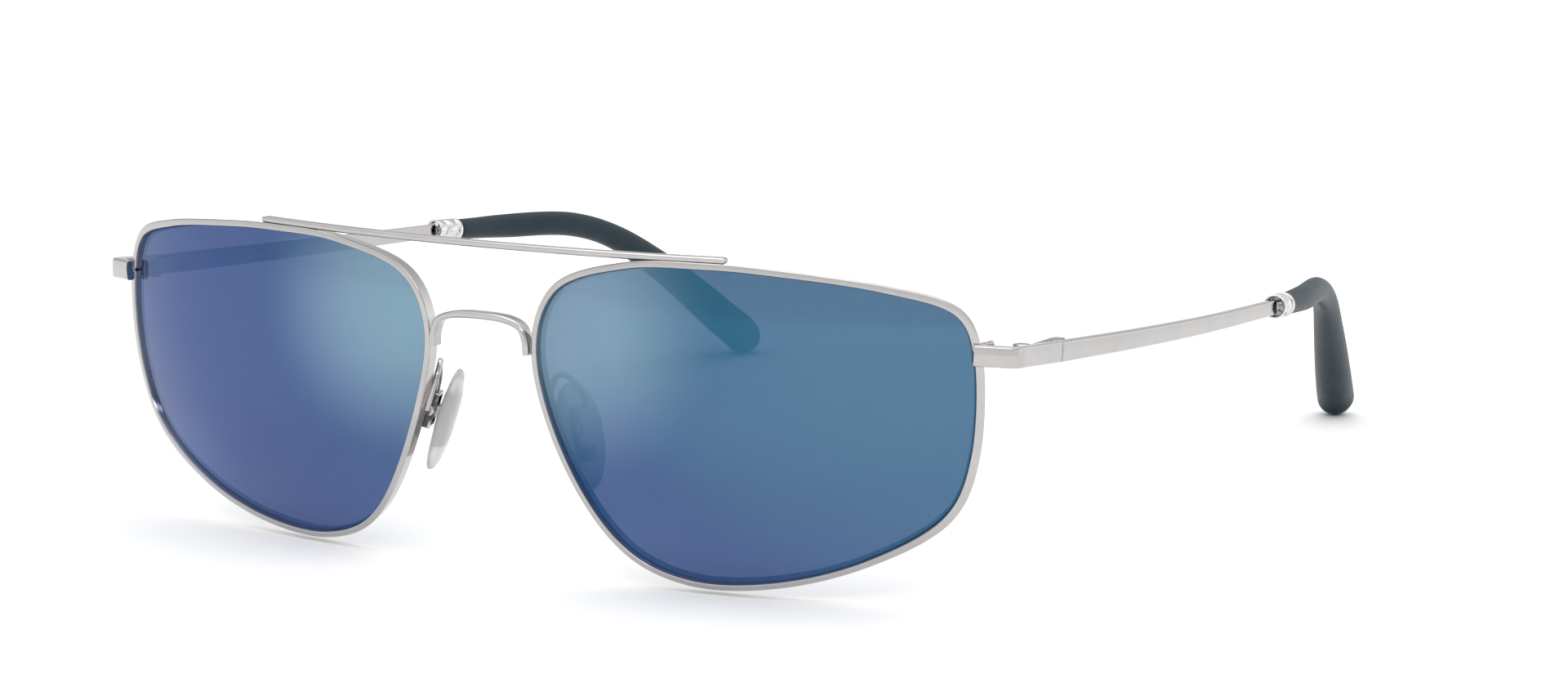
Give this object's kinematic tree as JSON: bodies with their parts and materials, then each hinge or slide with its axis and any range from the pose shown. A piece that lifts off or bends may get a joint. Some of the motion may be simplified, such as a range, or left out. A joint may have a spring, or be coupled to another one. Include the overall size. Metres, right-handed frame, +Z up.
{
  "type": "sunglasses",
  "caption": "Metal-framed navigator sunglasses with a double bridge, mirrored lenses, rocking nose pads and folding temples.",
  "frame": {"origin": "middle of the footprint, on the surface that the glasses stand on with the temples open", "axes": "+Z up, front faces -Y, +X is the wearer's left, temples run back along +Y"},
  "size_m": [0.1442, 0.1608, 0.0442],
  "materials": {
    "satin_metal": "satin nickel-silver wire and strip",
    "polished_metal": "polished turned metal",
    "hinge_metal": "milled satin metal",
    "screw_metal": "turned bright metal",
    "mirror_lens": "blue mirror coating, polished",
    "clear_silicone": "clear soft silicone",
    "tip_rubber": "dark slate soft-touch rubber"
  },
  "bodies": {
    "front": {"brow_bar": "satin_metal", "nose_bridge": "satin_metal", "rim_left": "satin_metal", "rim_right": "satin_metal", "lens_left": "mirror_lens", "lens_right": "mirror_lens", "end_piece_left": "satin_metal", "end_piece_right": "satin_metal", "rim_lock_upper_left": "satin_metal", "rim_lock_upper_right": "satin_metal", "rim_lock_lower_left": "satin_metal", "rim_lock_lower_right": "satin_metal", "rim_lock_screw_left": "screw_metal", "rim_lock_screw_right": "screw_metal", "hinge_front_leaf_left": "hinge_metal", "hinge_front_leaf_right": "hinge_metal", "hinge_screw_left": "screw_metal", "hinge_screw_right": "screw_metal", "pad_arm_left": "satin_metal", "pad_arm_right": "satin_metal", "pad_box_left": "satin_metal", "pad_box_right": "satin_metal", "pad_screw_left": "screw_metal", "pad_screw_right": "screw_metal"},
    "temple_left": {"hinge_rear_leaf_left": "hinge_metal", "temple_bar_left": "satin_metal", "collar_ring_left": "polished_metal", "tip_ferrule_left": "polished_metal", "temple_tip_left": "tip_rubber"},
    "pad_left": {"nose_pad_left": "clear_silicone", "pad_core_left": "hinge_metal"},
    "temple_right": {"hinge_rear_leaf_right": "hinge_metal", "temple_bar_right": "satin_metal", "collar_ring_right": "polished_metal", "tip_ferrule_right": "polished_metal", "temple_tip_right": "tip_rubber"},
    "pad_right": {"nose_pad_right": "clear_silicone", "pad_core_right": "hinge_metal"}
  },
  "joints": [
    {"name": "temple_left_fold", "type": "hinge", "parent": "front", "child": "temple_left", "pos_m": [0.06785, -0.05907, 0.03219], "axis": [0, 0, 1], "range_deg": [0, 84]},
    {"name": "temple_right_fold", "type": "hinge", "parent": "front", "child": "temple_right", "pos_m": [-0.06785, -0.05907, 0.03219], "axis": [0, 0, -1], "range_deg": [0, 76]},
    {"name": "pad_left_rock", "type": "hinge", "parent": "front", "child": "pad_left", "pos_m": [0.01225, -0.07202, 0.01964], "axis": [0.3746, 0.9272, 0], "range_deg": [-8, 8]},
    {"name": "pad_right_rock", "type": "hinge", "parent": "front", "child": "pad_right", "pos_m": [-0.01225, -0.07202, 0.01964], "axis": [0.3746, -0.9272, 0], "range_deg": [-8, 8]}
  ]
}
